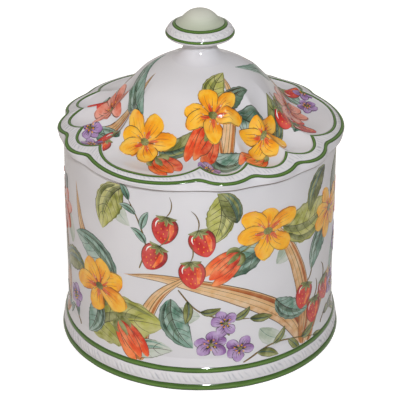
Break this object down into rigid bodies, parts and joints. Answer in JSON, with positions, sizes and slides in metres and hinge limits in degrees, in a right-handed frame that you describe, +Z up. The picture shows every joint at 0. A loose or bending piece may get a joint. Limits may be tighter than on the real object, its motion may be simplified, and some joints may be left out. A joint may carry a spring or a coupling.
{
  "type": "lidded storage jar",
  "caption": "Round lidded ceramic jar on a flared foot, with a domed, fluted and lobed lid that lifts off by a button knob.",
  "frame": {"origin": "on the jar's axis, in the plane that the foot stands on", "axes": "+Z up along the jar's axis; one broad lobe of the lid points along +X"},
  "size_m": [0.1612, 0.1598, 0.1949],
  "materials": {
    "white_glaze": "glossy clear glaze over a white body, painted under the glaze",
    "celadon_glaze": "glossy pale green glaze"
  },
  "bodies": {
    "jar": {"base": "white_glaze", "barrel": "white_glaze"},
    "lid": {"lid_shell": "white_glaze", "lid_flange": "white_glaze", "knob": "celadon_glaze"}
  },
  "joints": [
    {"name": "lid_lift", "type": "slide", "parent": "jar", "child": "lid", "axis": [0, 0, 1], "range_m": [0, 0.12]}
  ]
}
